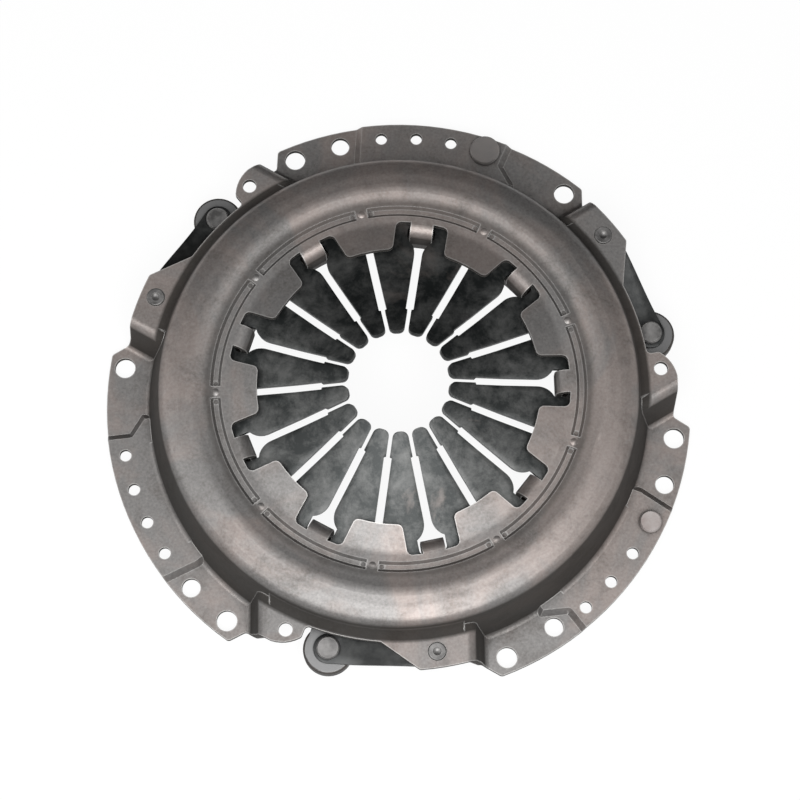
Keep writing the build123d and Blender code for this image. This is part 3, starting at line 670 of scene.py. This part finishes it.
class CLUTCH_OT_spring(bpy.types.Operator):
    """Build and finish the diaphragm spring and its wire ring"""
    bl_idname = "clutch.spring"
    bl_label = "Diaphragm spring"

    def execute(self, context):
        sizes = context.scene.clutch_spring
        colours = context.scene.clutch_colours
        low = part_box("diaphragm_spring")[0].z
        upright = sizes.thickness / cos(sizes.cone)
        rim_drop = (sizes.rim_radius - sizes.fulcrum_radius) * tan(sizes.cone)
        skew = sizes.thickness / 2 * (1 / cos(sizes.cone) - cos(sizes.cone))
        z_fulcrum = low + upright / 2 + rim_drop - skew
        steel = spring_steel(colours)
        piece = new_piece("spring_disc", build_spring(sizes, z_fulcrum), steel)
        thicken(piece, sizes.thickness, sizes.edge_round)
        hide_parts("diaphragm_spring")
        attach(piece, COVER_BODY)
        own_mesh(piece)
        pitch = 2 * pi / sizes.rim_parts
        for part in range(sizes.rim_parts):
            turns = steps(part * pitch, (part + 1) * pitch, FACES_RIM + 1)
            mesh = build_rim_part(sizes, z_fulcrum, turns)
            rim = new_piece(f"spring_rim_{part + 1}", mesh, steel)
            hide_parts("diaphragm_spring")
            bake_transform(rim)
        dress(["pivot_ring"], plain_steel("wire_steel", colours.strap, colours.spring_worn))
        return {"FINISHED"}


class CLUTCH_OT_plate(bpy.types.Operator):
    """Finish the cast pressure plate"""
    bl_idname = "clutch.plate"
    bl_label = "Pressure plate"

    def execute(self, context):
        lug_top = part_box("strap_1_leaf_1")[0].z
        dress(["pressure_plate"], cast_iron(context.scene.clutch_colours, lug_top))
        return {"FINISHED"}


class CLUTCH_OT_straps(bpy.types.Operator):
    """Build the strap leaves, which bend between the lug and the cover"""
    bl_idname = "clutch.straps"
    bl_label = "Straps"

    def execute(self, context):
        sizes = context.scene.clutch_straps
        colours = context.scene.clutch_colours
        steel = plain_steel("strap_steel", colours.strap, colours.spring_worn, rough=0.38)
        for sector in range(SECTORS):
            place, near, far = strap_frame(sizes, sector)
            for leaf in range(LEAVES):
                node = f"strap_{sector + 1}_leaf_{leaf + 1}"
                low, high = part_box(node)
                rise = high.z - low.z - sizes.thickness
                name = f"leaf_{sector + 1}_{leaf + 1}"
                piece = new_piece(name, build_leaf(sizes, rise), steel)
                level = Matrix.Translation((0, 0, low.z + sizes.thickness / 2))
                piece.data.transform(level @ place)
                thicken(piece, sizes.thickness, sizes.edge_round)
                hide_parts(node)
                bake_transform(piece)
        return {"FINISHED"}


class CLUTCH_OT_rivets(bpy.types.Operator):
    """Finish the rivets"""
    bl_idname = "clutch.rivets"
    bl_label = "Rivets"

    def execute(self, context):
        colours = context.scene.clutch_colours
        numbers = range(1, SECTORS + 1)
        worn = colours.cover_edge
        strap_rivets = [f"{kind}_rivet_{k}" for kind in ("lug", "cover") for k in numbers]
        dress(strap_rivets, plain_steel("rivet_steel", colours.rivet, worn))
        dress(["balance_rivet_small"], plain_steel("pale_rivet", colours.pale, worn))
        plug = plain_steel("balance_plug", colours.plug, colours.cover_warm)
        dress(["balance_rivet_large"], plug)
        return {"FINISHED"}


def softbox(name, place, size, power):
    """Square area lamp that looks at the origin."""
    lamp = bpy.data.lights.new(name, "AREA")
    lamp.shape = "SQUARE"
    lamp.size = size
    lamp.energy = power
    holder = bpy.data.objects.new(name, lamp)
    holder.location = place
    holder.rotation_euler = (-Vector(place)).to_track_quat("-Z", "Y").to_euler()
    bpy.context.scene.collection.objects.link(holder)


def seen_directly(n):
    """1 for rays from the camera, in mirrors and through glass."""
    path = n.add("ShaderNodeLightPath").outputs
    seen = n.math("MAXIMUM", path["Is Camera Ray"], path["Is Glossy Ray"])
    return n.math("MAXIMUM", seen, path["Is Transmission Ray"])


class CLUTCH_OT_stage(bpy.types.Operator):
    """Make the floor, the lamps, the room and the camera"""
    bl_idname = "clutch.stage"
    bl_label = "Stage"

    def execute(self, context):
        scene = context.scene
        stage = scene.clutch_stage
        n = Nodes(bpy.data.materials.new("studio_floor"))
        diffuse = n.add("ShaderNodeBsdfDiffuse", {"Color": tuple(scene.clutch_colours.floor)})
        glow = n.add("ShaderNodeEmission", {"Color": WHITE, "Strength": 1.0})
        share = n.times(seen_directly(n), FLOOR_GLOW)
        both = n.add("ShaderNodeMixShader", {"Fac": share})
        n.put(both.inputs[1], diffuse.outputs[0])
        n.put(both.inputs[2], glow.outputs[0])
        n.put(n.add("ShaderNodeOutputMaterial").inputs[0], both.outputs[0])
        floor = mesh_object("studio_floor", square(FLOOR_HALF), n.owner)
        floor.location.z = -FLOOR_DROP
        softbox("key_softbox", KEY_PLACE, KEY_SIZE, stage.key_power)
        softbox("fill_softbox", FILL_PLACE, FILL_SIZE, stage.fill_power)
        self.flag()
        self.room(scene, stage)
        self.camera(scene, stage)
        return {"FINISHED"}

    def flag(self):
        """Dark card behind the object, which only reflections show."""
        n = Nodes(bpy.data.materials.new("dark_card"))
        dark = n.add("ShaderNodeBsdfDiffuse", {"Color": CARD_COLOUR})
        n.put(n.add("ShaderNodeOutputMaterial").inputs[0], dark.outputs[0])
        card = mesh_object("dark_card", square(1.0), n.owner)
        card.scale = CARD_SCALE
        card.location = CARD_PLACE
        card.rotation_euler = Vector(CARD_PLACE).to_track_quat("Z", "Y").to_euler()
        card.visible_camera = False
        card.visible_diffuse = False
        card.visible_shadow = False

    def room(self, scene, stage):
        """World: white where it is seen, dimmer as light."""
        world = bpy.data.worlds.new("studio_room")
        n = Nodes(world)
        level = n.ramp(seen_directly(n), 0.0, 1.0, stage.sky, 1.0)
        light = n.add("ShaderNodeBackground", {"Color": WHITE, "Strength": level})
        n.put(n.add("ShaderNodeOutputWorld").inputs[0], light.outputs[0])
        scene.world = world

    def camera(self, scene, stage):
        """Camera on the axis's front side, looking steeply down."""
        lens = bpy.data.cameras.new("studio_camera")
        lens.sensor_width = SENSOR_WIDTH
        lens.lens = stage.lens
        camera = bpy.data.objects.new("studio_camera", lens)
        camera.location = (stage.camera_x, stage.camera_y, stage.camera_z)
        camera.rotation_euler = (pi / 2 - stage.elevation, 0.0, 0.0)
        scene.collection.objects.link(camera)
        scene.camera = camera
        scene.view_settings.view_transform = "Standard"


class CLUTCH_PT_panel(bpy.types.Panel):
    """Sizes, colours and steps of the clutch cover assembly"""
    bl_idname = "CLUTCH_PT_panel"
    bl_label = "Clutch cover assembly"
    bl_space_type = "VIEW_3D"
    bl_region_type = "UI"
    bl_category = "Clutch"

    def draw(self, context):
        scene = context.scene
        for group_name in GROUPS:
            group = getattr(scene, group_name)
            box = self.layout.box()
            for name in group.bl_rna.properties.keys():
                if name not in {"rna_type", "name"}:
                    box.prop(group, name)
        for step in STEPS:
            self.layout.operator(step.bl_idname)


STEPS = (CLUTCH_OT_cover, CLUTCH_OT_spring, CLUTCH_OT_plate, CLUTCH_OT_straps, CLUTCH_OT_rivets,
         CLUTCH_OT_stage)
GROUPS = {
    "clutch_spring": ClutchSpringSizes,
    "clutch_straps": ClutchStrapSizes,
    "clutch_colours": ClutchColours,
    "clutch_stage": ClutchStageSizes,
}


def register():
    """Register the property groups, operators and panel."""
    for cls in (*GROUPS.values(), *STEPS, CLUTCH_PT_panel):
        bpy.utils.register_class(cls)
    for name, group in GROUPS.items():
        setattr(bpy.types.Scene, name, PointerProperty(type=group))


def unregister():
    """Take everything out again."""
    for name in GROUPS:
        delattr(bpy.types.Scene, name)
    for cls in reversed((*GROUPS.values(), *STEPS, CLUTCH_PT_panel)):
        bpy.utils.unregister_class(cls)


def main():
    """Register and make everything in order."""
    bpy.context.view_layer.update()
    register()
    for step in STEPS:
        group, name = step.bl_idname.split(".")
        getattr(getattr(bpy.ops, group), name)()


if __name__ == "__main__":
    main()
